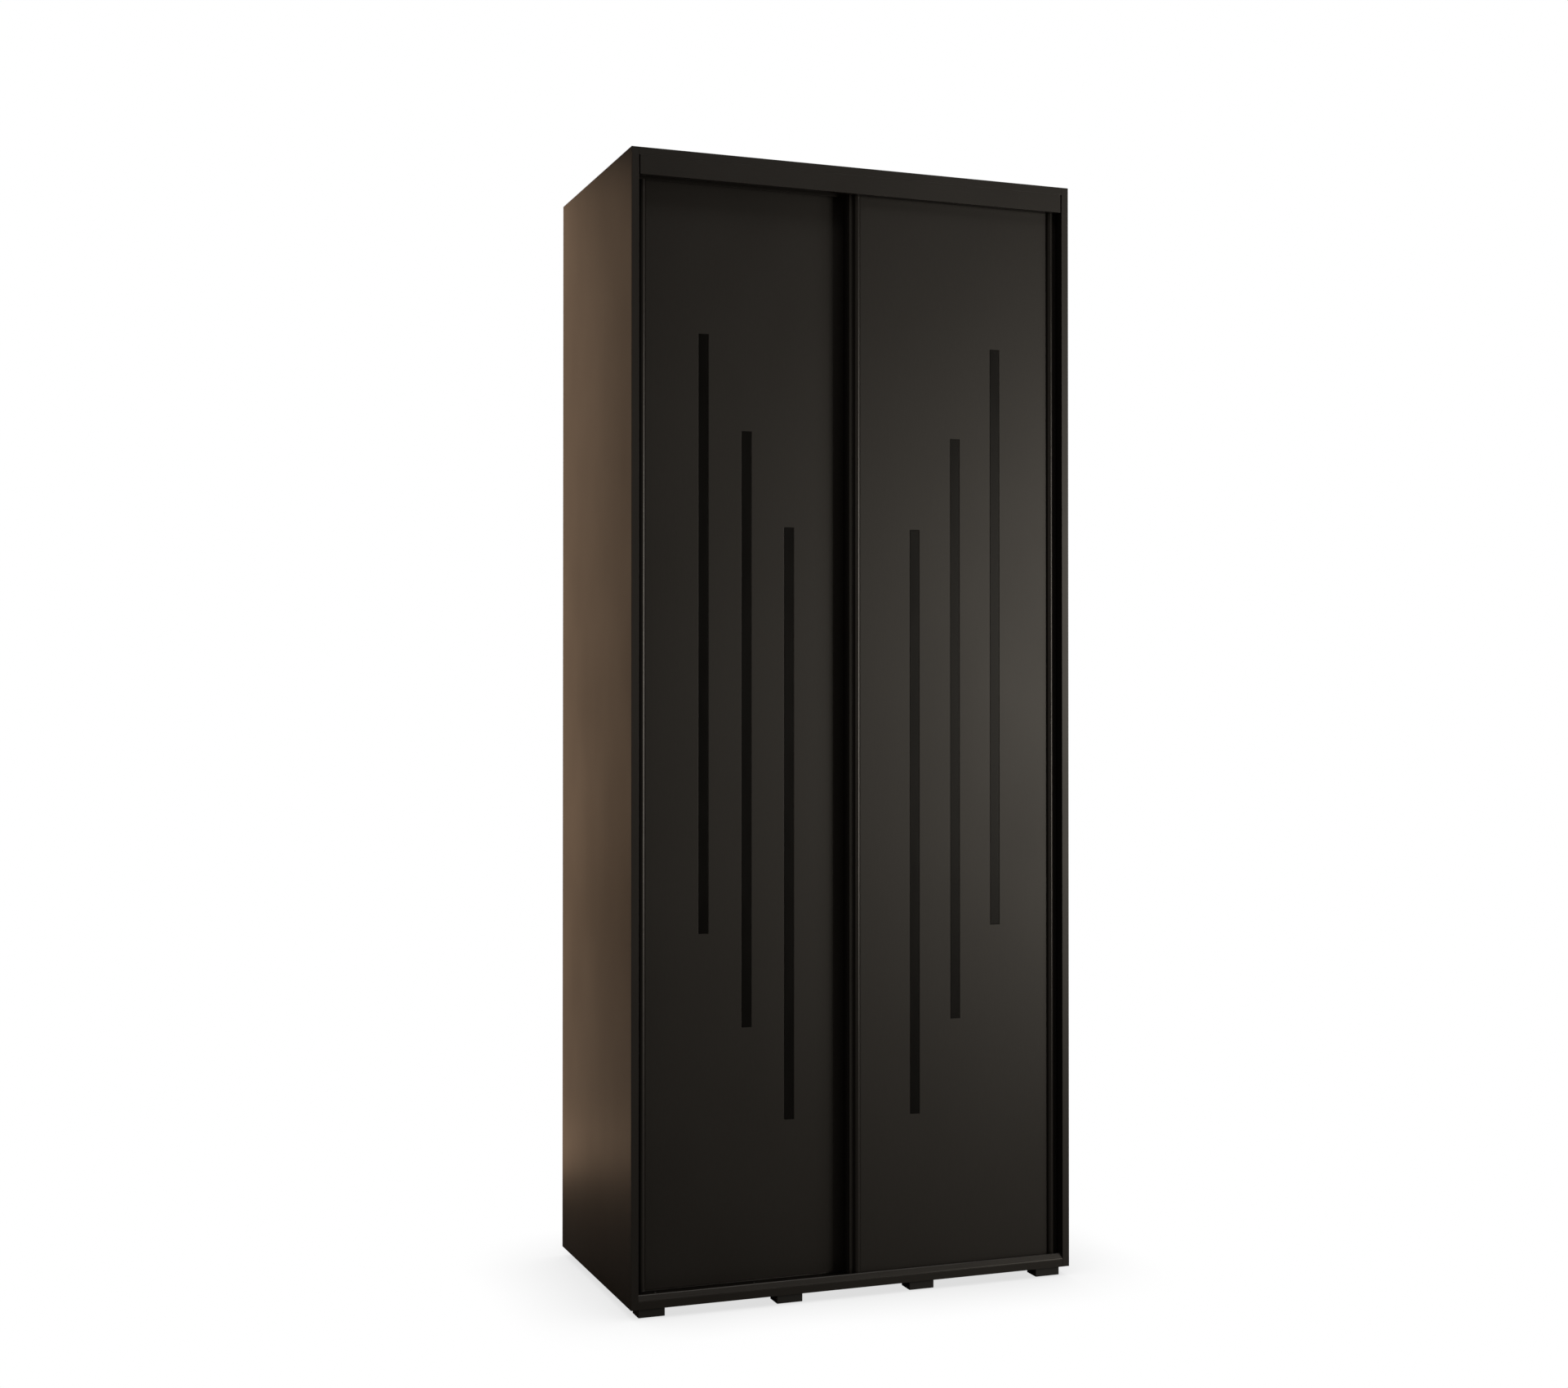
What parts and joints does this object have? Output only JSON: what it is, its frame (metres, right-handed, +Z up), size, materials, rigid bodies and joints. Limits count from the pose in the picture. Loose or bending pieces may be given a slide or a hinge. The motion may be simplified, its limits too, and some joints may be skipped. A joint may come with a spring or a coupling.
{
  "type": "sliding-door wardrobe",
  "caption": "Tall black wardrobe with two overlapping sliding doors in grip stiles, staggered vertical inlays, shelves and a hanging rail inside, on low block feet.",
  "frame": {"origin": "on the floor under the middle of the wardrobe's box", "axes": "+Z up, -Y out of the doors towards the user, +X to the right of someone facing the doors"},
  "size_m": [1, 0.558, 2.392],
  "materials": {
    "board": "satin black melamine with a light wood grain",
    "back": "dull black hardboard",
    "inlay": "smooth black",
    "profile": "satin black anodised",
    "rod": "polished",
    "socket": "zinc plated",
    "plastic": "moulded black",
    "wheel": "moulded black nylon"
  },
  "bodies": {
    "carcass": {"back_panel_left": "back", "back_panel_right": "back", "bottom_panel": "board", "bottom_track": "profile", "fascia": "board", "foot_front_1": "plastic", "foot_front_2": "plastic", "foot_front_3": "plastic", "foot_front_4": "plastic", "foot_rear_1": "plastic", "foot_rear_2": "plastic", "foot_rear_3": "plastic", "foot_rear_4": "plastic", "hanging_rod": "rod", "partition": "board", "rod_socket_left": "socket", "rod_socket_right": "socket", "shelf_left_1": "board", "shelf_left_2": "board", "shelf_left_3": "board", "shelf_left_4": "board", "shelf_left_5": "board", "shelf_right_lower": "board", "shelf_right_upper": "board", "side_panel_left": "board", "side_panel_right": "board", "top_panel": "board", "top_track": "profile"},
    "left_door": {"left_door_board": "board", "left_door_inlay_1": "inlay", "left_door_inlay_2": "inlay", "left_door_inlay_3": "inlay", "left_door_stile_left": "profile", "left_door_stile_right": "profile", "left_door_top_guide_left": "plastic", "left_door_top_guide_right": "plastic", "left_door_wheel_carrier_left": "plastic", "left_door_wheel_carrier_right": "plastic"},
    "right_door": {"right_door_board": "board", "right_door_inlay_1": "inlay", "right_door_inlay_2": "inlay", "right_door_inlay_3": "inlay", "right_door_stile_left": "profile", "right_door_stile_right": "profile", "right_door_top_guide_left": "plastic", "right_door_top_guide_right": "plastic", "right_door_wheel_carrier_left": "plastic", "right_door_wheel_carrier_right": "plastic"},
    "left_door_wheel_left_body": {"left_door_wheel_left": "wheel"},
    "left_door_wheel_right_body": {"left_door_wheel_right": "wheel"},
    "right_door_wheel_left_body": {"right_door_wheel_left": "wheel"},
    "right_door_wheel_right_body": {"right_door_wheel_right": "wheel"}
  },
  "joints": [
    {"name": "left_door_slide", "type": "slide", "parent": "carcass", "child": "left_door", "axis": [1, 0, 0], "range_m": [0, 0.465]},
    {"name": "right_door_slide", "type": "slide", "parent": "carcass", "child": "right_door", "axis": [-1, 0, 0], "range_m": [0, 0.465]},
    {"name": "left_door_wheel_left_spin", "type": "hinge", "parent": "left_door", "child": "left_door_wheel_left_body", "pos_m": [-0.3925, -0.2102, 0.0508], "axis": [0, 1, 0], "continuous": true},
    {"name": "left_door_wheel_right_spin", "type": "hinge", "parent": "left_door", "child": "left_door_wheel_right_body", "pos_m": [-0.0685, -0.2102, 0.0508], "axis": [0, 1, 0], "continuous": true},
    {"name": "right_door_wheel_left_spin", "type": "hinge", "parent": "right_door", "child": "right_door_wheel_left_body", "pos_m": [0.074, -0.2457, 0.0508], "axis": [0, 1, 0], "continuous": true},
    {"name": "right_door_wheel_right_spin", "type": "hinge", "parent": "right_door", "child": "right_door_wheel_right_body", "pos_m": [0.398, -0.2457, 0.0508], "axis": [0, 1, 0], "continuous": true}
  ],
  "couplings": [
    {"joint": "left_door_wheel_left_spin", "follows": "left_door_slide", "rad_per_m": 102.04},
    {"joint": "left_door_wheel_right_spin", "follows": "left_door_slide", "rad_per_m": 102.04},
    {"joint": "right_door_wheel_left_spin", "follows": "right_door_slide", "rad_per_m": -102.04},
    {"joint": "right_door_wheel_right_spin", "follows": "right_door_slide", "rad_per_m": -102.04}
  ]
}
